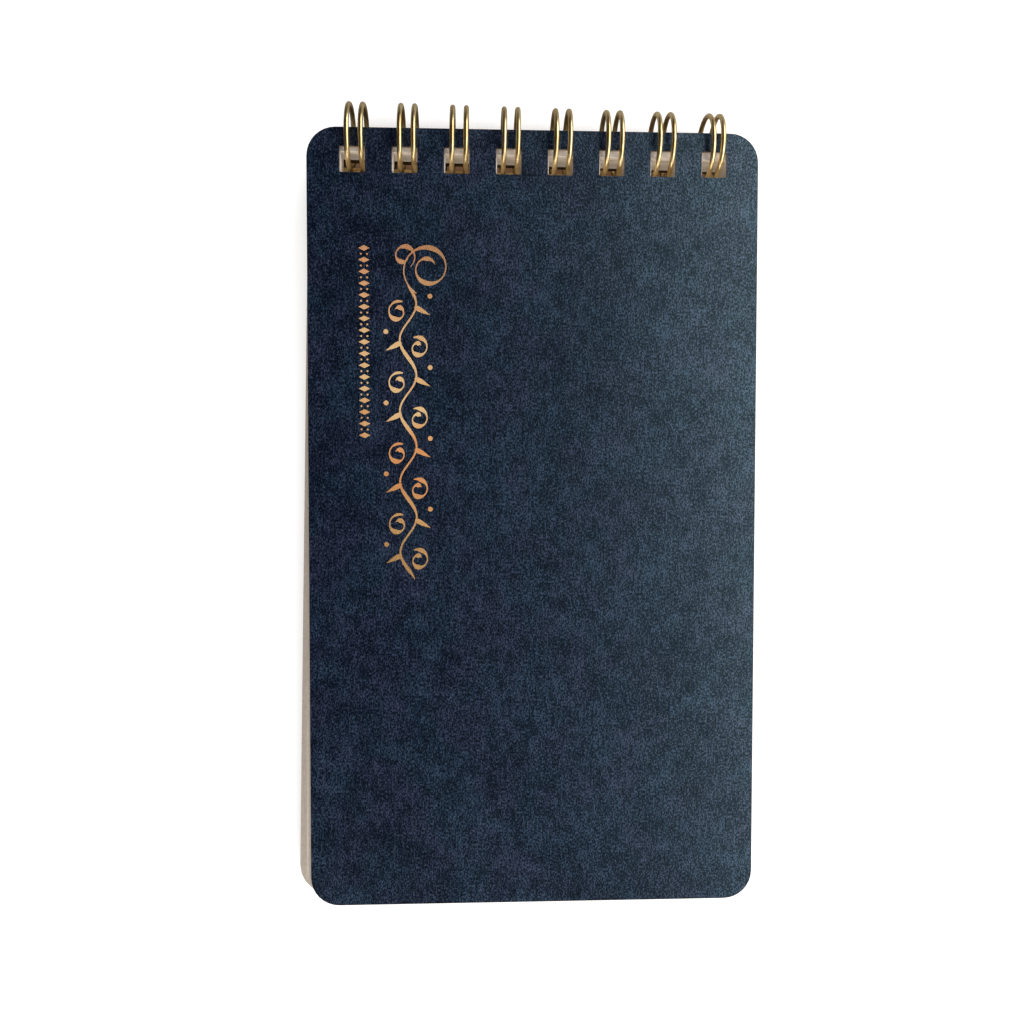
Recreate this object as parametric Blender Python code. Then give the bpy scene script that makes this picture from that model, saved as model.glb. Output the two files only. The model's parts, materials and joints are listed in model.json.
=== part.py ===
"""Pocket notebook: card covers and loose leaves held by a twin-loop wire binding.

Units are metres. The origin is the centre of the back cover's outer face. +Y runs up the page
to the binding and +Z comes out of the front cover. Every sheet turns about the ring axis, which
is parallel to X. Heights called "level" are measured from that axis, along Z.
"""

import math

import bpy

MM = 0.001

# The sheets: covers and leaves have one width, and the leaves are a little shorter.
SHEET_WIDTH = 74.0 * MM
CORNER_RADIUS = 4.7 * MM
COVER_HEIGHT = 127.9 * MM
COVER_THICKNESS = 0.40 * MM
COVER_CLEARANCE = 0.05 * MM      # from the ring axis to a cover's top edge
LEAF_COUNT = 37
LEAF_HEIGHT = 125.9 * MM
LEAF_THICKNESS = 0.10 * MM
LEAF_GAP = 0.035 * MM
LEAF_CLEARANCE = 0.32 * MM       # from the ring axis to a leaf's top edge

# The punched holes, three to the inch.
HOLE_COUNT = 8
HOLE_PITCH = 25.4 / 3 * MM
HOLE_SIZE = 4.1 * MM
HOLE_CORNER = 0.2 * MM
HOLE_MARGIN = 3.1 * MM           # a cover's top edge to its holes

# The wire, one length bent into hairpin loops and rolled into rings.
WIRE_RADIUS = 0.42 * MM
RING_RADIUS = 5.13 * MM          # to the wire's centre line
LOOP_WIDTH = 2.25 * MM           # between the two legs of a loop
PINCHED_TIP_WIDTH = 1.3 * MM     # the last loop is squeezed together at its tip
BEND_RADIUS = 0.75 * MM          # where a leg turns into the straight base
SEAM_GAP = 1.1 * MM              # base to loop tip, along the ring
END_STUB = 0.6 * MM
WIRE_SIDES_SETTING = 2           # a curve bevel with eight sides
LEG_SEGMENTS = 22
TIP_SEGMENTS = 6
BEND_SEGMENTS = 3

# How the block lies in the rings.
FRONT_LEVEL = 3.65 * MM          # the front cover's outer face
BACK_LEVEL = 3.15 * MM           # the back cover's outer face, below the axis
CLOSED_GAP = 0.04 * MM           # last leaf to back cover at the free end
COVER_SLIDE = 0.9 * MM           # the front cover sits this much further up,
COVER_SHIFT = -0.3 * MM          # this much to one side
COVER_SKEW = math.radians(0.85)  # and hangs askew
LEAF_SHIFT_FIRST = -0.15 * MM    # the leaves drift to the same side with depth
LEAF_SHIFT_LAST = -0.40 * MM
UPPER_LEAVES = 9                 # the first leaves hang askew with the front cover
UPPER_SKEW = math.radians(0.42)
LOWER_SKEW = math.radians(-0.17)
LEAF_SHIFT_SWAY = 0.04 * MM      # and all of them lie a little unevenly
LEAF_SKEW_SWAY = math.radians(0.03)
SHIFT_TURN = 2.4                 # radians from one leaf's unevenness to the next
SKEW_TURN = 1.7

# Outline detail: arc segments in one corner.
COVER_SEGMENTS = 8
LEAF_SEGMENTS = 5
COVER_HOLE_SEGMENTS = 2

# Derived places.
AXIS = (0.0, COVER_HEIGHT / 2 + COVER_CLEARANCE, BACK_LEVEL)
HOLE_ROW = -(COVER_CLEARANCE + HOLE_MARGIN + HOLE_SIZE / 2)
BACK_INNER_LEVEL = -BACK_LEVEL + COVER_THICKNESS
FIRST_LEAF_LEVEL = FRONT_LEVEL - COVER_THICKNESS - LEAF_GAP - LEAF_THICKNESS / 2
LEAF_PITCH = LEAF_THICKNESS + LEAF_GAP
BLOCK_BOTTOM = FIRST_LEAF_LEVEL - (LEAF_COUNT - 1) * LEAF_PITCH - LEAF_THICKNESS / 2
BLOCK_REACH = LEAF_CLEARANCE + LEAF_HEIGHT + SHEET_WIDTH / 2 * math.sin(UPPER_SKEW + LEAF_SKEW_SWAY)
CLOSING_ANGLE = math.asin((BLOCK_BOTTOM - BACK_INNER_LEVEL - CLOSED_GAP) / BLOCK_REACH)
BASE_LEVEL = (BLOCK_BOTTOM + BACK_INNER_LEVEL) / 2
BASE_ANGLE = math.pi + math.asin(-BASE_LEVEL / RING_RADIUS)
TIP_ARC = 2 * math.pi * RING_RADIUS - SEAM_GAP


def clear_scene():
    """Start from an empty file."""
    for item in list(bpy.data.objects):
        bpy.data.objects.remove(item, do_unlink=True)
    for collection in list(bpy.data.collections):
        bpy.data.collections.remove(collection)


def make_material(name, colour, roughness, metallic=0.0):
    """A Principled material in one plain finish."""
    material = bpy.data.materials.new(name)
    material.use_nodes = True
    shader = material.node_tree.nodes["Principled BSDF"]
    shader.inputs["Base Color"].default_value = (*colour, 1.0)
    shader.inputs["Roughness"].default_value = roughness
    shader.inputs["Metallic"].default_value = metallic
    material.diffuse_color = (*colour, 1.0)
    return material


def rounded_rectangle(centre, size, radius, segments):
    """Outline of a rectangle whose corners are arcs, anticlockwise from the lower right."""
    points = []
    for corner, (side_x, side_y) in enumerate(((1, -1), (1, 1), (-1, 1), (-1, -1))):
        arc_x = centre[0] + side_x * (size[0] / 2 - radius)
        arc_y = centre[1] + side_y * (size[1] / 2 - radius)
        for step in range(segments + 1):
            angle = math.radians(90) * (corner - 1 + step / max(segments, 1))
            points.append((arc_x + radius * math.cos(angle), arc_y + radius * math.sin(angle)))
    return points


def hole_centres():
    """Places of the punched holes along the binding edge."""
    first = -(HOLE_COUNT - 1) / 2 * HOLE_PITCH
    return [first + index * HOLE_PITCH for index in range(HOLE_COUNT)]


def sheet_outlines(height, clearance, corner_segments, hole_radius, hole_segments):
    """The outer edge and the holes of a sheet that starts clearance below the ring axis."""
    centre = (0.0, -clearance - height / 2)
    outlines = [rounded_rectangle(centre, (SHEET_WIDTH, height), CORNER_RADIUS, corner_segments)]
    for hole_x in hole_centres():
        hole = (hole_x, HOLE_ROW)
        outlines.append(rounded_rectangle(hole, (HOLE_SIZE, HOLE_SIZE), hole_radius, hole_segments))
    return outlines


def sheet_curve(name, outlines, thickness, material):
    """A punched sheet as a filled flat outline, with the ring axis on its local X axis."""
    curve = bpy.data.curves.new(name, "CURVE")
    curve.dimensions = "2D"
    curve.fill_mode = "BOTH"
    curve.extrude = thickness / 2
    for outline in outlines:
        spline = curve.splines.new("POLY")
        spline.points.add(len(outline) - 1)
        for point, (x, y) in zip(spline.points, outline):
            point.co = (x, y, 0.0, 1.0)
        spline.use_cyclic_u = True
    curve.materials.append(material)
    return curve


def ring_point(x, arc):
    """A point of the wire: x along the binding, arc measured round the ring from the base."""
    angle = BASE_ANGLE + arc / RING_RADIUS
    return (x, RING_RADIUS * math.cos(angle), RING_RADIUS * math.sin(angle))


def loop_outline(centre_x, base_half, tip_half):
    """One hairpin loop, unrolled: bend out of the base, leg, tip, leg, bend into the base."""
    left_side = []
    for step in range(BEND_SEGMENTS + 1):
        angle = math.radians(90) * step / BEND_SEGMENTS
        across = base_half + BEND_RADIUS * (1 - math.sin(angle))
        left_side.append((-across, BEND_RADIUS * (1 - math.cos(angle))))
    leg_end = TIP_ARC - tip_half
    for step in range(1, LEG_SEGMENTS):
        share = step / LEG_SEGMENTS
        arc = BEND_RADIUS + (leg_end - BEND_RADIUS) * share
        left_side.append((-base_half + (base_half - tip_half) * share, arc))
    tip = []
    for step in range(TIP_SEGMENTS + 1):
        angle = math.pi * (1 - step / TIP_SEGMENTS)
        tip.append((tip_half * math.cos(angle), leg_end + tip_half * math.sin(angle)))
    right_side = [(-across, arc) for across, arc in reversed(left_side)]
    return [(centre_x + across, arc) for across, arc in left_side + tip + right_side]


def wire_curve(name, material):
    """The binding wire, one continuous length through all the loops."""
    path = []
    for index, centre_x in enumerate(hole_centres()):
        tip_width = PINCHED_TIP_WIDTH if index == HOLE_COUNT - 1 else LOOP_WIDTH
        path.extend(loop_outline(centre_x, LOOP_WIDTH / 2, tip_width / 2))
    path.insert(0, (path[0][0] - END_STUB, 0.0))
    path.append((path[-1][0] + END_STUB, 0.0))
    curve = bpy.data.curves.new(name, "CURVE")
    curve.dimensions = "3D"
    curve.bevel_depth = WIRE_RADIUS
    curve.bevel_resolution = WIRE_SIDES_SETTING
    curve.use_fill_caps = True
    spline = curve.splines.new("POLY")
    spline.points.add(len(path) - 1)
    for point, (x, arc) in zip(spline.points, path):
        point.co = (*ring_point(x, arc), 1.0)
    spline.use_smooth = True
    curve.materials.append(material)
    return curve


def add_object(collection, name, data, parent=None):
    """Link a new object under its parent."""
    item = bpy.data.objects.new(name, data)
    item.parent = parent
    collection.objects.link(item)
    return item


def add_hinge(collection, name, closing_angle):
    """An empty on the ring axis, which carries one sheet."""
    empty = add_object(collection, name, None)
    empty.empty_display_size = RING_RADIUS
    empty.location = AXIS
    empty.rotation_euler = (closing_angle, 0.0, 0.0)
    return empty


def place_sheet(sheet, shift, skew, level):
    """Set a sheet at its level, turned about the middle of its hole row and moved by shift."""
    sheet.location = (
        shift[0] + HOLE_ROW * math.sin(skew),
        shift[1] + HOLE_ROW * (1 - math.cos(skew)),
        level,
    )
    sheet.rotation_euler = (0.0, 0.0, skew)


def place_leaf(leaf, index):
    """Set one leaf of the block, with its small share of sideways drift and unevenness."""
    depth = index / (LEAF_COUNT - 1)
    drift = LEAF_SHIFT_FIRST + (LEAF_SHIFT_LAST - LEAF_SHIFT_FIRST) * depth
    drift += LEAF_SHIFT_SWAY * math.sin(SHIFT_TURN * index)
    skew = UPPER_SKEW if index < UPPER_LEAVES else LOWER_SKEW
    skew += LEAF_SKEW_SWAY * math.sin(SKEW_TURN * index)
    place_sheet(leaf, (drift, 0.0), skew, FIRST_LEAF_LEVEL - index * LEAF_PITCH)


def build_notebook():
    """Assemble the wire, the two covers and the leaves."""
    collection = bpy.data.collections.new("pocket_notebook")
    bpy.context.scene.collection.children.link(collection)
    brass = make_material("gold_wire", (0.72, 0.55, 0.27), 0.25, 1.0)
    front_card = make_material("navy_card_front", (0.018, 0.035, 0.07), 0.75)
    back_card = make_material("navy_card_back", (0.018, 0.035, 0.07), 0.75)
    paper = make_material("cream_paper", (0.80, 0.76, 0.68), 0.85)

    wire = add_object(collection, "binding_wire", wire_curve("binding_wire", brass))
    wire.location = AXIS

    back_hinge = add_hinge(collection, "back_cover_hinge", 0.0)
    cover_outlines = sheet_outlines(
        COVER_HEIGHT, COVER_CLEARANCE, COVER_SEGMENTS, HOLE_CORNER, COVER_HOLE_SEGMENTS
    )
    back_data = sheet_curve("back_cover", cover_outlines, COVER_THICKNESS, back_card)
    back_cover = add_object(collection, "back_cover", back_data, back_hinge)
    place_sheet(back_cover, (0.0, 0.0), 0.0, -BACK_LEVEL + COVER_THICKNESS / 2)

    leaf_outlines = sheet_outlines(LEAF_HEIGHT, LEAF_CLEARANCE, LEAF_SEGMENTS, 0.0, 0)
    leaf_data = sheet_curve("leaf", leaf_outlines, LEAF_THICKNESS, paper)
    for index in range(LEAF_COUNT):
        name = f"leaf_{index + 1:02d}"
        hinge = add_hinge(collection, f"{name}_hinge", CLOSING_ANGLE)
        place_leaf(add_object(collection, name, leaf_data, hinge), index)

    front_hinge = add_hinge(collection, "front_cover_hinge", CLOSING_ANGLE)
    front_data = sheet_curve("front_cover", cover_outlines, COVER_THICKNESS, front_card)
    front_cover = add_object(collection, "front_cover", front_data, front_hinge)
    front_level = FRONT_LEVEL - COVER_THICKNESS / 2
    place_sheet(front_cover, (COVER_SHIFT, COVER_SLIDE), COVER_SKEW, front_level)


clear_scene()
build_notebook()
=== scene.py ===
"""Looks of the pocket notebook: grained card, cream paper, metal foil and gold wire.

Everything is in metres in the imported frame: +Y up the page to the binding, +Z out of the front
cover, and the back cover's outer face at z = 0.
"""

import json
import math
from typing import NamedTuple

import bmesh
import bpy
from mathutils import Matrix, Vector


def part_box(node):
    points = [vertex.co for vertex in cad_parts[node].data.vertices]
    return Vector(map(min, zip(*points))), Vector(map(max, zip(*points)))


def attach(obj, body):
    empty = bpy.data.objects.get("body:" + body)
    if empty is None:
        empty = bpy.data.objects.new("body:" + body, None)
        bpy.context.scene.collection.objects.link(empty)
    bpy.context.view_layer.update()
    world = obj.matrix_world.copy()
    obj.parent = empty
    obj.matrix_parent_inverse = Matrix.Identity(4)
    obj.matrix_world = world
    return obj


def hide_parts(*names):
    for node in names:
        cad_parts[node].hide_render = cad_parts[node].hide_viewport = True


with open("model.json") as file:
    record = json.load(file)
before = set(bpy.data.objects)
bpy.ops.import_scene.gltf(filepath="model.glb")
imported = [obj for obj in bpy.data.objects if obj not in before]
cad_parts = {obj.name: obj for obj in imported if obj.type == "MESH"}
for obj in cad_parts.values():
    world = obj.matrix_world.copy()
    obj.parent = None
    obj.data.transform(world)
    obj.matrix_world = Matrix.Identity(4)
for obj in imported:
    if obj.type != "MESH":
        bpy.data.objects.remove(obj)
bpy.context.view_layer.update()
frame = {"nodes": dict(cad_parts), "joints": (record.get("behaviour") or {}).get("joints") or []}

MM = 0.001
WHITE = (1.0, 1.0, 1.0)

# The ring axis and the sheets, as the frame has them.
AXIS = Vector(frame["joints"][0]["pos_m"])
BACK_LOW, BACK_HIGH = (Vector(corner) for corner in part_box("back_cover"))
LEAVES = sorted(name for name in frame["nodes"] if name.startswith("leaf_"))
WELD_DISTANCE = 0.002 * MM

# Angles between faces that tell flat from bent: faces to merge, edges to round, edges to keep
# sharp in the shading, and edges that are a sheet's rim.
FLAT_ANGLE = math.radians(1)
BEVEL_ANGLE = math.radians(40)
SHARP_ANGLE = math.radians(50)
RIM_ANGLE = math.radians(60)

# The binding wire: eight hairpin loops of one length of wire, the last one pinched at its tip.
HOLE_COUNT = 8
HOLE_PITCH = 25.4 / 3 * MM
LOOP_WIDTH = 2.25 * MM
PINCHED_TIP_WIDTH = 1.3 * MM
BEND_RADIUS = 0.75 * MM
SEAM_GAP = 1.1 * MM
END_STUB = 0.6 * MM
LEG_SEGMENTS = 72
TIP_SEGMENTS = 16
BEND_SEGMENTS = 8


class Layer(NamedTuple):
    """A layer of noise: its scale per metre, how far it is squeezed along Y (less than 1 draws it
    out), its detail and roughness, its turn about Z, and its share of what it is added to."""

    scale: float
    along: float
    detail: float
    roughness: float
    turn: float = 0.0
    share: float = 1.0


class Lamp(NamedTuple):
    """A soft oblong light: its place, the point it aims at, its length and height, its power and
    colour, and whether glossy surfaces mirror it."""

    name: str
    place: tuple
    aim: tuple
    length: float
    height: float
    watts: float
    colour: tuple
    reflected: bool = True


# Card: the layers that make up its tone, the colours that the tone runs through, its shine.
EDGE_ROUNDING = 0.08 * MM
CARD_GRAIN = Layer(4300.0, 0.60, 1.0, 0.5, 0.00, 0.36)
CARD_LAYERS = (
    Layer(5600.0, 0.70, 2.0, 0.7, 0.60, 0.31),
    Layer(2100.0, 0.22, 1.0, 0.6, 0.05, 0.12),
    Layer(330.0, 0.80, 4.0, 0.7, 0.30, 0.14),
    Layer(60.0, 1.00, 5.0, 0.6, 0.00, 0.07),
)
CARD_HUE = Layer(110.0, 1.00, 3.0, 0.6, 1.10, 0.80)
CARD_RELIEF = 0.05 * MM
NAVY_TONES = (
    (0.44, (0.0001, 0.0006, 0.0050)),
    (0.49, (0.0015, 0.0042, 0.0160)),
    (0.53, (0.0044, 0.0092, 0.0265)),
    (0.58, (0.0370, 0.0500, 0.0930)),
)
NAVY_TINTS = ((0.40, (1.00, 0.78, 0.92)), (0.60, (0.70, 1.00, 0.98)))
CORE_TONES = ((0.35, (0.120, 0.066, 0.034)), (0.65, (0.220, 0.138, 0.078)))
PRINTED_FACING = 0.93
CARD_SHINE_TONES = (0.43, 0.59)
CARD_SHINE = (0.34, 1.04)
CARD_SHINE_TINT = (0.60, 0.90, 1.0, 1.0)

# Paper: fibres, faint ruled lines, and a painted glow on the sheets' cut edges that brightens the
# hole walls.
PAPER_FIBRE = Layer(1800.0, 0.60, 4.0, 0.7)
PAPER_RELIEF = 0.02 * MM
PAPER_TONES = ((0.3, (0.60, 0.525, 0.455)), (0.7, (0.71, 0.635, 0.56)))
CUT_TONES = ((0.0, (0.56, 0.48, 0.39)), (1.0, (0.80, 0.72, 0.61)))
CUT_FACING = 0.6
# Painted light: how strongly the cut edges glow.
CUT_EDGE_PAINTED_GLOW = 0.26
RULE_INK = (0.36, 0.38, 0.42)
RULE_STRENGTH = 0.7
RULE_PITCH = 6.5 * MM
RULE_WIDTH = 0.16 * MM
RULE_REACH = 32.0 * MM
HEAD_MARGIN = 15.0 * MM
FOOT_MARGIN = 6.0 * MM

# Wire: a little tarnish, and fine marks from drawing it.
WIRE_TARNISH = Layer(420.0, 1.00, 3.0, 0.6)
WIRE_MARKS = Layer(5200.0, 1.00, 2.0, 0.5)
WIRE_RELIEF = 0.01 * MM
WIRE_TONES = ((0.35, (0.70, 0.50, 0.22)), (0.65, (0.92, 0.74, 0.40)))
WIRE_ROUGHNESS = (0.28, 0.40)

# Foil: its colours run down the cover, with a drift of their own.
FOIL_DRIFT = Layer(160.0, 1.00, 2.0, 0.5, 0.0, 0.5)
FOIL_GRAIN = Layer(3300.0, 0.60, 3.0, 0.65)
FOIL_RELIEF = 0.03 * MM
FOIL_TONES = (
    (0.00, (0.90, 0.42, 0.20)),
    (0.20, (0.92, 0.52, 0.24)),
    (0.40, (0.92, 0.62, 0.30)),
    (0.62, (0.86, 0.36, 0.13)),
    (0.85, (0.88, 0.50, 0.20)),
)
FOIL_TONE_START = -17.0 * MM
FOIL_TONE_END = -75.0 * MM

# The foil ornament: across is measured from the cover's left edge, down from its top edge.
FOIL_THICKNESS = 0.015 * MM
FOIL_LAYER = 0.002 * MM
FOIL_LIFT = 0.004 * MM
HAIRLINE = 0.21 * MM
SWELL = 0.60 * MM
PEN_SLANT = Vector((0.96, 0.28))

# The floor shows white, but darkens to a painted warm shade in the narrow gap under the notebook,
# standing in for the shade and the gold wire's bounce light there.
FLOOR_REACH = 2.0
FLOOR_CLEARANCE = 0.02 * MM
FLOOR_BASE = (0.38, 0.37, 0.36)
FLOOR_GLOW = 0.95
SHADE_REACH = 12.0 * MM
FLOOR_PAINTED_SHADE_TONES = (
    (0.06, (0.120, 0.046, 0.012)),
    (0.20, (0.130, 0.095, 0.070)),
    (0.42, (0.320, 0.290, 0.260)),
    (0.62, (0.860, 0.855, 0.850)),
    (0.85, WHITE),
)

# A strip light close on the right, two lights beyond the free end, and one for the foil alone.
LAMPS = (
    Lamp("key", (0.152, 0.035, 0.127), (0.03, 0.02, 0.0), 0.50, 0.16, 0.90, (1.0, 0.99, 0.97)),
    Lamp("fill", (-0.10, -0.27, 0.26), (0.0, 0.0, 0.0), 0.40, 0.30, 0.95, (1.0, 0.98, 0.96), False),
    Lamp("low", (-0.04, -0.38, 0.13), (0.0, 0.06, 0.0), 0.40, 0.10, 0.50, (1.0, 0.98, 0.95)),
)
FOIL_LAMP = Lamp("overhead", (-0.062, 0.065, 0.60), (-0.018, 0.02, 0.0), 0.13, 0.42, 0.15, WHITE)
ROOM = (0.02, 0.02, 0.021)

CAMERA_PLACE = Vector((-9.87, 6.36, 158.24)) * MM
CAMERA_TURN = (-1.534, -2.526, 0.883)
CAMERA_LENS = 32.34
CAMERA_SENSOR = 36.0
CAMERA_CLIP = 5.0 * MM


# ---------------------------------------------------------------- material helpers


def set_inputs(tree, node, inputs):
    """Set a node's inputs; each is a value or another node's socket."""
    for key, value in inputs.items():
        if isinstance(value, bpy.types.NodeSocket):
            tree.links.new(value, node.inputs[key])
        else:
            node.inputs[key].default_value = value


def add_node(tree, kind, inputs=None, **settings):
    """A shader node with its settings and inputs."""
    node = tree.nodes.new(kind)
    for key, value in settings.items():
        setattr(node, key, value)
    set_inputs(tree, node, inputs or {})
    return node


def new_material(name):
    """A Principled material, its node tree and its shader node."""
    material = bpy.data.materials.new(name)
    material.use_nodes = True
    tree = material.node_tree
    return material, tree, tree.nodes["Principled BSDF"]


def math_node(tree, operation, first, second=0.5):
    """The result of one arithmetic operation."""
    return add_node(tree, "ShaderNodeMath", {0: first, 1: second}, operation=operation).outputs[0]


def noise(tree, vector, layer, dimensions="3D"):
    """The value of a noise layer; in 2D it is the same through a sheet's whole thickness."""
    settings = {
        "Vector": vector,
        "Scale": (1.0, layer.along, 1.0),
        "Rotation": (0.0, 0.0, layer.turn),
    }
    mapping = add_node(tree, "ShaderNodeMapping", settings)
    inputs = {
        "Vector": mapping.outputs[0],
        "Scale": layer.scale,
        "Detail": layer.detail,
        "Roughness": layer.roughness,
    }
    return add_node(tree, "ShaderNodeTexNoise", inputs, noise_dimensions=dimensions).outputs[0]


def ramp(tree, value, stops):
    """A colour ramp through (position, colour) stops."""
    node = add_node(tree, "ShaderNodeValToRGB", {"Fac": value})
    elements = node.color_ramp.elements
    while len(elements) < len(stops):
        elements.new(0.5)
    for element, (position, colour) in zip(elements, stops):
        element.position = position
        element.color = (*colour, 1.0)
    return node.outputs["Color"]


def spread(tree, value, source, result):
    """A value carried from one (low, high) range to another, and held at its ends."""
    inputs = {
        "Value": value,
        "From Min": source[0],
        "From Max": source[1],
        "To Min": result[0],
        "To Max": result[1],
    }
    return add_node(tree, "ShaderNodeMapRange", inputs).outputs[0]


def mix_colour(tree, share, first, second, blend="MIX"):
    """Two colours mixed; each is a socket or an RGB triple."""
    node = add_node(tree, "ShaderNodeMix", {0: share}, data_type="RGBA", blend_type=blend)
    for index, colour in ((6, first), (7, second)):
        is_socket = isinstance(colour, bpy.types.NodeSocket)
        set_inputs(tree, node, {index: colour if is_socket else (*colour, 1.0)})
    return node.outputs[2]


def normal_height(tree, coordinates):
    """The Z part of a sheet's own normal: 1 on its upper face, -1 below, 0 on a cut edge."""
    parts = add_node(tree, "ShaderNodeSeparateXYZ", {0: coordinates.outputs["Normal"]})
    return parts.outputs["Z"]


def bump(tree, height, strength, distance):
    """The normal of a surface that a height value roughens."""
    inputs = {"Height": height, "Strength": strength, "Distance": distance}
    return add_node(tree, "ShaderNodeBump", inputs).outputs[0]


# ---------------------------------------------------------------- materials


def card_material(name, outward):
    """Navy felt-marked card on a brown core; `outward` is the sign of its printed face's Z."""
    material, tree, shader = new_material(name)
    coordinates = add_node(tree, "ShaderNodeTexCoord")
    place = coordinates.outputs["Object"]
    grain = noise(tree, place, CARD_GRAIN, "2D")
    tone = math_node(tree, "MULTIPLY", grain, CARD_GRAIN.share)
    for layer in CARD_LAYERS:
        part = math_node(tree, "MULTIPLY", noise(tree, place, layer, "2D"), layer.share)
        tone = math_node(tree, "ADD", tone, part)
    tint = ramp(tree, noise(tree, place, CARD_HUE, "2D"), NAVY_TINTS)
    navy = mix_colour(tree, CARD_HUE.share, ramp(tree, tone, NAVY_TONES), tint, "MULTIPLY")
    facing = math_node(tree, "MULTIPLY", normal_height(tree, coordinates), outward)
    printed = math_node(tree, "GREATER_THAN", facing, PRINTED_FACING)
    finish = {
        "Base Color": mix_colour(tree, printed, ramp(tree, tone, CORE_TONES), navy),
        "Specular IOR Level": spread(tree, tone, CARD_SHINE_TONES, CARD_SHINE),
        "Specular Tint": CARD_SHINE_TINT,
        "Roughness": 0.42,
        "Normal": bump(tree, tone, 0.30, CARD_RELIEF),
    }
    set_inputs(tree, shader, finish)
    return material


def ruled_lines(tree, place):
    """1 on the faint printed lines of a page, which stop short of its edges."""
    parts = add_node(tree, "ShaderNodeSeparateXYZ", {0: place})
    below = math_node(tree, "SUBTRACT", AXIS.y - HEAD_MARGIN, parts.outputs["Y"])
    phase = math_node(tree, "FRACT", math_node(tree, "DIVIDE", below, RULE_PITCH))
    mask = math_node(tree, "LESS_THAN", phase, RULE_WIDTH / RULE_PITCH)
    aside = math_node(tree, "ABSOLUTE", parts.outputs["X"])
    limits = (
        math_node(tree, "GREATER_THAN", below, -RULE_WIDTH / 2),
        math_node(tree, "GREATER_THAN", parts.outputs["Y"], BACK_LOW.y + FOOT_MARGIN),
        math_node(tree, "LESS_THAN", aside, RULE_REACH),
    )
    for limit in limits:
        mask = math_node(tree, "MULTIPLY", mask, limit)
    return mask


def paper_material():
    """Cream writing paper with fine fibres, faint ruled lines and cut edges that glow with painted
    light.
    """
    material, tree, shader = new_material("cream_paper")
    coordinates = add_node(tree, "ShaderNodeTexCoord")
    place = coordinates.outputs["Object"]
    fibre = noise(tree, place, PAPER_FIBRE)
    ruled = math_node(tree, "MULTIPLY", ruled_lines(tree, place), RULE_STRENGTH)
    face = mix_colour(tree, ruled, ramp(tree, fibre, PAPER_TONES), RULE_INK)
    leaf_tone = add_node(tree, "ShaderNodeObjectInfo").outputs["Random"]
    cut = ramp(tree, leaf_tone, CUT_TONES)
    upright = math_node(tree, "ABSOLUTE", normal_height(tree, coordinates))
    on_edge = math_node(tree, "LESS_THAN", upright, CUT_FACING)
    finish = {
        "Base Color": mix_colour(tree, on_edge, face, cut),
        # Painted light: the cut edges glow in their own colour, which brightens the hole walls.
        "Emission Color": cut,
        "Emission Strength": math_node(tree, "MULTIPLY", on_edge, CUT_EDGE_PAINTED_GLOW),
        "Roughness": 0.85,
        "Specular IOR Level": 0.2,
        "Normal": bump(tree, fibre, 0.25, PAPER_RELIEF),
    }
    set_inputs(tree, shader, finish)
    return material


def wire_material():
    """Pale gold wire with a satin shine, fine drawing marks and a little tarnish."""
    material, tree, shader = new_material("gold_wire")
    place = add_node(tree, "ShaderNodeTexCoord").outputs["Object"]
    tarnish = noise(tree, place, WIRE_TARNISH)
    marks = noise(tree, place, WIRE_MARKS)
    finish = {
        "Base Color": ramp(tree, tarnish, WIRE_TONES),
        "Metallic": 1.0,
        "Roughness": spread(tree, marks, (0.0, 1.0), WIRE_ROUGHNESS),
        "Normal": bump(tree, marks, 0.08, WIRE_RELIEF),
    }
    set_inputs(tree, shader, finish)
    return material


def foil_material():
    """Hot-stamped foil whose tone drifts from copper through pale gold down the cover."""
    material, tree, shader = new_material("stamped_foil")
    place = add_node(tree, "ShaderNodeTexCoord").outputs["Object"]
    parts = add_node(tree, "ShaderNodeSeparateXYZ", {0: place})
    down = spread(tree, parts.outputs["Y"], (FOIL_TONE_START, FOIL_TONE_END), (0.0, 1.0))
    drift = math_node(tree, "SUBTRACT", noise(tree, place, FOIL_DRIFT), 0.5)
    tone = math_node(tree, "ADD", down, math_node(tree, "MULTIPLY", drift, FOIL_DRIFT.share))
    grain = noise(tree, place, FOIL_GRAIN)
    finish = {
        "Base Color": ramp(tree, tone, FOIL_TONES),
        "Metallic": 0.75,
        "Roughness": 0.22,
        "Normal": bump(tree, grain, 0.35, FOIL_RELIEF),
    }
    set_inputs(tree, shader, finish)
    return material


# ---------------------------------------------------------------- covers and wire


def link_object(name, data):
    """A new object in the scene."""
    item = bpy.data.objects.new(name, data)
    bpy.context.scene.collection.objects.link(item)
    return item


def welded_form(node_name):
    """An editable copy of a node's mesh, with its shared corners joined."""
    form = bmesh.new()
    form.from_mesh(frame["nodes"][node_name].data)
    bmesh.ops.remove_doubles(form, verts=form.verts, dist=WELD_DISTANCE)
    return form


def finished_cover(node_name, piece_name, material):
    """A cover with the CAD outline and softly rounded cut edges."""
    form = welded_form(node_name)
    bmesh.ops.dissolve_limit(form, angle_limit=FLAT_ANGLE, verts=form.verts, edges=form.edges)
    mesh = bpy.data.meshes.new(piece_name)
    form.to_mesh(mesh)
    form.free()
    mesh.materials.clear()
    mesh.materials.append(material)
    piece = link_object(piece_name, mesh)
    rounding = piece.modifiers.new("rounding", "BEVEL")
    rounding.width = EDGE_ROUNDING
    rounding.segments = 3
    rounding.limit_method = "ANGLE"
    rounding.angle_limit = BEVEL_ANGLE
    mesh.shade_smooth()
    mesh.set_sharp_from_angle(angle=SHARP_ANGLE)
    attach(piece, node_name)
    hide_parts(node_name)


def wire_base():
    """Centre of the wire's cut end, which is a point of its straight base, and its radius."""
    corners = [vertex.co for vertex in frame["nodes"]["binding_wire"].data.vertices]
    end = min(corner.x for corner in corners)
    cap = [corner for corner in corners if corner.x < end + 0.001 * MM]
    centre = sum(cap, Vector()) / len(cap)
    return centre, max((corner - centre).length for corner in cap)


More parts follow.
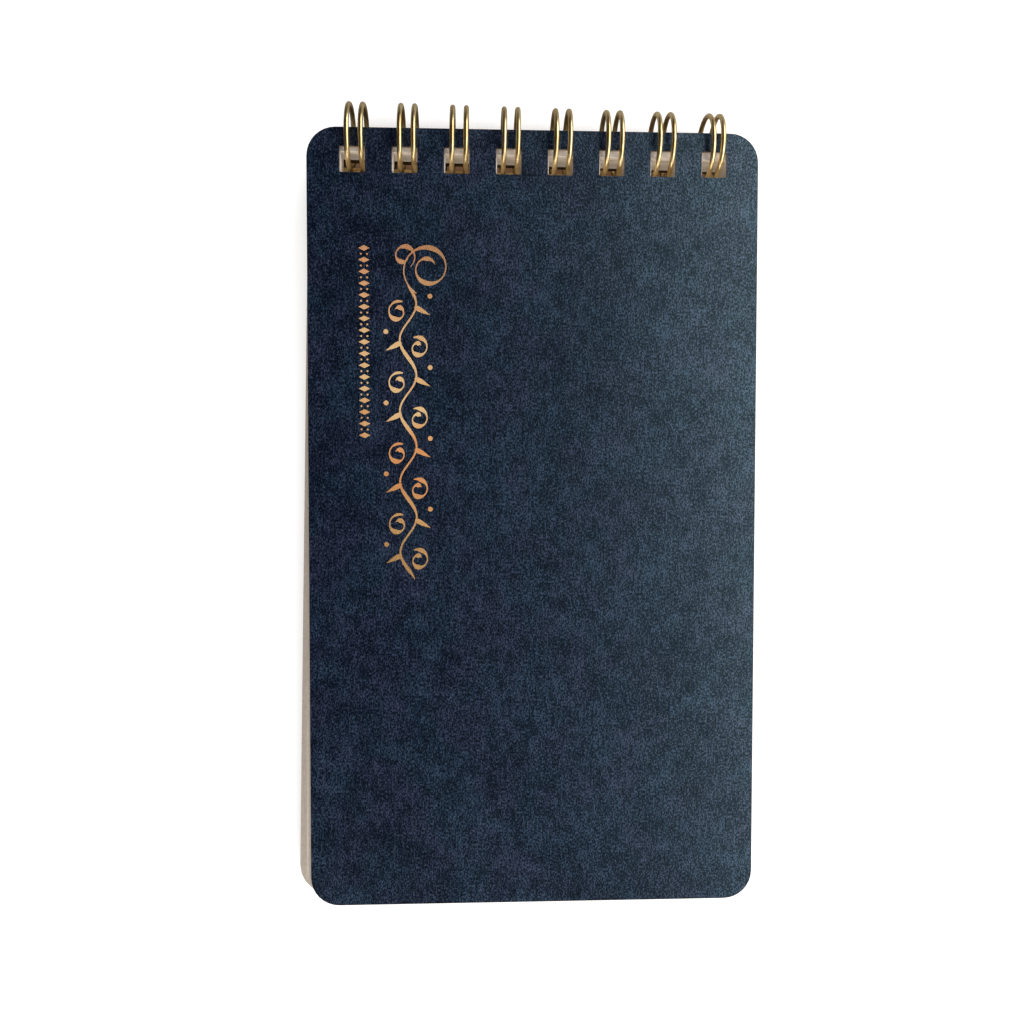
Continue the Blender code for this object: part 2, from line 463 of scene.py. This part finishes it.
def loop_outline(centre_x, base_half, tip_half, tip_arc):
    """One hairpin loop, unrolled: bend out of the base, leg, tip, leg, bend into the base."""
    left_side = []
    for step in range(BEND_SEGMENTS + 1):
        angle = math.radians(90) * step / BEND_SEGMENTS
        across = base_half + BEND_RADIUS * (1 - math.sin(angle))
        left_side.append((-across, BEND_RADIUS * (1 - math.cos(angle))))
    leg_end = tip_arc - tip_half
    for step in range(1, LEG_SEGMENTS):
        share = step / LEG_SEGMENTS
        arc = BEND_RADIUS + (leg_end - BEND_RADIUS) * share
        left_side.append((-base_half + (base_half - tip_half) * share, arc))
    tip = []
    for step in range(TIP_SEGMENTS + 1):
        angle = math.pi * (1 - step / TIP_SEGMENTS)
        tip.append((tip_half * math.cos(angle), leg_end + tip_half * math.sin(angle)))
    right_side = [(-across, arc) for across, arc in reversed(left_side)]
    return [(centre_x + across, arc) for across, arc in left_side + tip + right_side]


def unrolled_wire(tip_arc):
    """The whole wire laid flat: its loops in a row, with a stub at each end."""
    path = []
    for index in range(HOLE_COUNT):
        centre_x = (index - (HOLE_COUNT - 1) / 2) * HOLE_PITCH
        tip_width = PINCHED_TIP_WIDTH if index == HOLE_COUNT - 1 else LOOP_WIDTH
        path.extend(loop_outline(centre_x, LOOP_WIDTH / 2, tip_width / 2, tip_arc))
    path.insert(0, (path[0][0] - END_STUB, 0.0))
    path.append((path[-1][0] + END_STUB, 0.0))
    return path


def finished_wire(material):
    """The binding wire as one smooth round length, on the CAD wire's own path."""
    base, radius = wire_base()
    ring_radius = math.hypot(base.y - AXIS.y, base.z - AXIS.z)
    base_angle = math.atan2(base.z - AXIS.z, base.y - AXIS.y)
    path = unrolled_wire(2 * math.pi * ring_radius - SEAM_GAP)
    curve = bpy.data.curves.new("gold_binding_wire", "CURVE")
    curve.dimensions = "3D"
    curve.bevel_depth = radius
    curve.bevel_resolution = 5
    curve.use_fill_caps = True
    spline = curve.splines.new("POLY")
    spline.points.add(len(path) - 1)
    for point, (x, arc) in zip(spline.points, path):
        angle = base_angle + arc / ring_radius
        y = AXIS.y + ring_radius * math.cos(angle)
        z = AXIS.z + ring_radius * math.sin(angle)
        point.co = (x, y, z, 1.0)
    spline.use_smooth = True
    curve.materials.append(material)
    piece = link_object("gold_binding_wire", curve)
    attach(piece, "binding_wire")
    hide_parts("binding_wire")


# ---------------------------------------------------------------- foil ornament


def upper_face_frame(node_name):
    """Matrix of a sheet's upper face: origin at its top left corner, x across, y up the page."""
    form = welded_form(node_name)
    folded = [edge for edge in form.edges if len(edge.link_faces) == 2]
    rims = [edge for edge in folded if edge.calc_face_angle() > RIM_ANGLE]
    rims.sort(key=lambda edge: edge.calc_length(), reverse=True)
    long_sides = []
    for edge in rims[:4]:
        ends = sorted((vertex.co.copy() for vertex in edge.verts), key=lambda place: place.y)
        long_sides.append(ends)
    form.free()
    long_sides.sort(key=lambda ends: ends[0].z, reverse=True)
    left, right = sorted(long_sides[:2], key=lambda ends: ends[0].x)
    up = (left[1] - left[0]).normalized()
    across = (right[1] - left[1]).normalized()
    out = across.cross(up).normalized()
    corner_radius = (BACK_HIGH.y - BACK_LOW.y - (left[1] - left[0]).length) / 2
    matrix = Matrix((across, up, out)).transposed().to_4x4()
    matrix.translation = left[1] + up * corner_radius
    return matrix


def pen_width(direction):
    """Stroke width of a slanted broad pen moving in a direction (across, down)."""
    return HAIRLINE + SWELL * abs(direction.normalized().dot(PEN_SLANT)) ** 4


def add_stroke(form, points, layer, taper=0.12, width_scale=1.0):
    """A flat calligraphic stroke along points given as (across, down), narrow at its ends."""
    last = len(points) - 1
    rows = []
    for index, point in enumerate(points):
        direction = points[min(index + 1, last)] - points[max(index - 1, 0)]
        side = Vector((-direction.y, direction.x)).normalized()
        share = index / last
        fullness = min(1.0, share / taper, (1 - share) / taper)
        half = pen_width(direction) * width_scale * (0.25 + 0.75 * fullness) / 2
        pair = (point + side * half, point - side * half)
        rows.append([form.verts.new((p.x, -p.y, layer * FOIL_LAYER)) for p in pair])
    for (left_a, right_a), (left_b, right_b) in zip(rows, rows[1:]):
        form.faces.new((left_a, right_a, right_b, left_b))


def add_blob(form, centre, radius_across, radius_down, turn, layer, sides=20, point=0.0):
    """A filled drop: an ellipse that may narrow to a point at one end."""
    corners = []
    for step in range(sides):
        angle = 2 * math.pi * step / sides
        narrow = 1 - point * (0.5 + 0.5 * math.cos(angle))
        x = radius_across * math.cos(angle)
        y = radius_down * math.sin(angle) * narrow
        spin_x = x * math.cos(turn) - y * math.sin(turn)
        spin_y = x * math.sin(turn) + y * math.cos(turn)
        place = (centre.x + spin_x, -(centre.y + spin_y), layer * FOIL_LAYER)
        corners.append(form.verts.new(place))
    form.faces.new(corners)


def spiral(centre, start_radius, end_radius, start_angle, turns, steps=60):
    """Points of a spiral that winds in towards its centre."""
    points = []
    for step in range(steps + 1):
        share = step / steps
        radius = start_radius + (end_radius - start_radius) * share ** 0.8
        angle = start_angle + 2 * math.pi * turns * share
        points.append(centre + radius * Vector((math.cos(angle), math.sin(angle))))
    return points


def foil_piece(name, form, face, material):
    """Turn flat strokes into a thin foil that lies on the front cover."""
    mesh = bpy.data.meshes.new(name)
    bmesh.ops.recalc_face_normals(form, faces=form.faces)
    for polygon in form.faces:
        if polygon.normal.z < 0:
            polygon.normal_flip()
    form.to_mesh(mesh)
    form.free()
    mesh.materials.append(material)
    piece = link_object(name, mesh)
    piece.matrix_world = face @ Matrix.Translation((0.0, 0.0, FOIL_LIFT))
    solid = piece.modifiers.new("thickness", "SOLIDIFY")
    solid.thickness = FOIL_THICKNESS
    solid.offset = 1.0
    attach(piece, "front_cover")
    return piece


def waving_stem(middle, top, bottom, wave_length):
    """Points of a stem that sways from side to side on its way down."""
    sway = 1.35 * MM
    steps = 260
    points = []
    for step in range(steps + 1):
        down = top + (bottom - top) * step / steps
        phase = 2 * math.pi * (down - top) / wave_length
        points.append(Vector((middle + sway * math.sin(phase), down)))
    return points


def add_sprig(form, stem, side, layer):
    """What grows at one crest of the stem: a tendril on one side, a leaf and a dot on the other."""
    tendril_centre = stem + Vector((-1.65 * side, 1.3)) * MM
    tendril_start = math.radians(-90 + 25 * side)
    tendril = spiral(tendril_centre, 1.85 * MM, 0.62 * MM, tendril_start, turns=-1.2 * side)
    add_stroke(form, tendril, layer, taper=0.10)
    leaf_centre = stem + Vector((2.35 * side, 1.1)) * MM
    leaf_turn = math.radians(90 - 62 * side)
    add_blob(form, leaf_centre, 1.45 * MM, 0.60 * MM, leaf_turn, layer + 1, sides=28, point=0.85)
    dot_centre = stem + Vector((3.6 * side, -1.3)) * MM
    dot_radius = 0.40 * MM
    add_blob(form, dot_centre, dot_radius, dot_radius, 0.0, layer + 2)


def foil_vine(face, material):
    """A trailing vine: a scroll at its head, a waving stem, tendrils, leaves and dots."""
    middle = 16.3 * MM
    top = 25.5 * MM
    bottom = 73.5 * MM
    wave_length = 11.6 * MM
    form = bmesh.new()
    large_centre = Vector((19.6, 22.6)) * MM
    large = spiral(large_centre, 4.5 * MM, 1.3 * MM, math.radians(115), turns=1.6, steps=110)
    small_centre = Vector((15.6, 20.6)) * MM
    small = spiral(small_centre, 2.1 * MM, 0.8 * MM, math.radians(60), turns=-1.1, steps=70)
    stem = waving_stem(middle, top, bottom, wave_length)
    add_stroke(form, large, 0)
    add_stroke(form, small, 1)
    add_stroke(form, stem, 2, taper=0.03, width_scale=1.35)
    down = top + wave_length / 4
    side = 1
    layer = 3
    while down < bottom - 2 * MM:
        add_sprig(form, Vector((middle, down)), side, layer)
        down += wave_length / 2
        side = -side
        layer += 3
    return foil_piece("foil_vine", form, face, material)


def foil_garland(face, material):
    """A narrow row of lozenges with a pair of dots between each two, beside the vine."""
    across = 9.2 * MM
    top = 19.4 * MM
    pitch = 1.9 * MM
    count = 17
    dot_radius = 0.16 * MM
    dot_spread = Vector((0.5 * MM, 0.0))
    form = bmesh.new()
    for index in range(count):
        centre = Vector((across, top + index * pitch))
        add_blob(form, centre, 0.92 * MM, 0.46 * MM, 0.0, index, sides=4)
        if index < count - 1:
            middle = centre + Vector((0.0, pitch / 2))
            add_blob(form, middle - dot_spread, dot_radius, dot_radius, 0.0, index, sides=12)
            add_blob(form, middle + dot_spread, dot_radius, dot_radius, 0.0, index, sides=12)
    return foil_piece("foil_garland", form, face, material)


# ---------------------------------------------------------------- studio


def floor_material():
    """Pale floor that shows white to the camera, except where something close is near: there its
    colour and glow carry a painted warm shade.
    """
    material, tree, shader = new_material("studio_floor")
    open_sky = add_node(tree, "ShaderNodeAmbientOcclusion", {"Distance": SHADE_REACH}, samples=12)
    # Painted shade: colour and glow darken to a warm brown where ambient occlusion is low, under
    # and beside the notebook and inside its holes.
    tone = ramp(tree, open_sky.outputs["AO"], FLOOR_PAINTED_SHADE_TONES)
    path = add_node(tree, "ShaderNodeLightPath")
    finish = {
        "Base Color": mix_colour(tree, 1.0, tone, FLOOR_BASE, "MULTIPLY"),
        "Roughness": 0.9,
        "Specular IOR Level": 0.1,
        "Emission Color": tone,
        "Emission Strength": math_node(tree, "MULTIPLY", path.outputs["Is Camera Ray"], FLOOR_GLOW),
    }
    set_inputs(tree, shader, finish)
    return material


def build_floor():
    """A plain pale floor, sloped so that it meets the rings and the notebook's free end."""
    ring_low = Vector(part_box("binding_wire")[0])
    slope = math.atan2(-ring_low.z, AXIS.y - BACK_LOW.y)
    bpy.ops.mesh.primitive_plane_add(size=2 * FLOOR_REACH)
    floor = bpy.context.object
    floor.name = "studio_floor"
    floor.rotation_euler = (-slope, 0.0, 0.0)
    floor.location = (0.0, BACK_LOW.y, -FLOOR_CLEARANCE)
    floor.data.materials.append(floor_material())


def build_lamp(lamp):
    """One lamp as an area light, its length level with the floor."""
    data = bpy.data.lights.new(lamp.name, "AREA")
    data.shape = "RECTANGLE"
    data.size = lamp.length
    data.size_y = lamp.height
    data.energy = lamp.watts
    data.color = lamp.colour
    light = link_object(lamp.name, data)
    light.location = lamp.place
    direction = Vector(lamp.aim) - Vector(lamp.place)
    light.rotation_euler = direction.to_track_quat("-Z", "Y").to_euler()
    light.visible_glossy = lamp.reflected
    return light


def build_lights(foil):
    """The lamps, with one that reaches only the foil pieces, in a dim room seen as white."""
    for lamp in LAMPS:
        build_lamp(lamp)
    foil_group = bpy.data.collections.new("foil")
    for piece in foil:
        foil_group.objects.link(piece)
    build_lamp(FOIL_LAMP).light_linking.receiver_collection = foil_group
    world = bpy.data.worlds.new("studio")
    bpy.context.scene.world = world
    world.use_nodes = True
    tree = world.node_tree
    path = add_node(tree, "ShaderNodeLightPath")
    seen = mix_colour(tree, path.outputs["Is Camera Ray"], ROOM, WHITE)
    set_inputs(tree, tree.nodes["Background"], {"Color": seen, "Strength": 1.0})


def build_camera():
    """A camera close above the notebook, a little to its left."""
    data = bpy.data.cameras.new("camera")
    data.sensor_width = CAMERA_SENSOR
    data.lens = CAMERA_LENS
    data.clip_start = CAMERA_CLIP
    camera = link_object("camera", data)
    camera.location = CAMERA_PLACE
    camera.rotation_euler = [math.radians(angle) for angle in CAMERA_TURN]
    bpy.context.scene.camera = camera
    bpy.context.scene.view_settings.view_transform = "Standard"


# ---------------------------------------------------------------- assembly


def build_notebook():
    """Give every node its finish, put the finer pieces in place, and return the foil pieces."""
    finished_cover("front_cover", "front_card", card_material("navy_card_front", 1.0))
    finished_cover("back_cover", "back_card", card_material("navy_card_back", -1.0))
    paper = paper_material()
    for name in LEAVES:
        leaf = frame["nodes"][name]
        leaf.data.materials.clear()
        leaf.data.materials.append(paper)
    finished_wire(wire_material())
    face = upper_face_frame("front_cover")
    foil = foil_material()
    return foil_vine(face, foil), foil_garland(face, foil)


ornament = build_notebook()
build_floor()
build_lights(ornament)
build_camera()
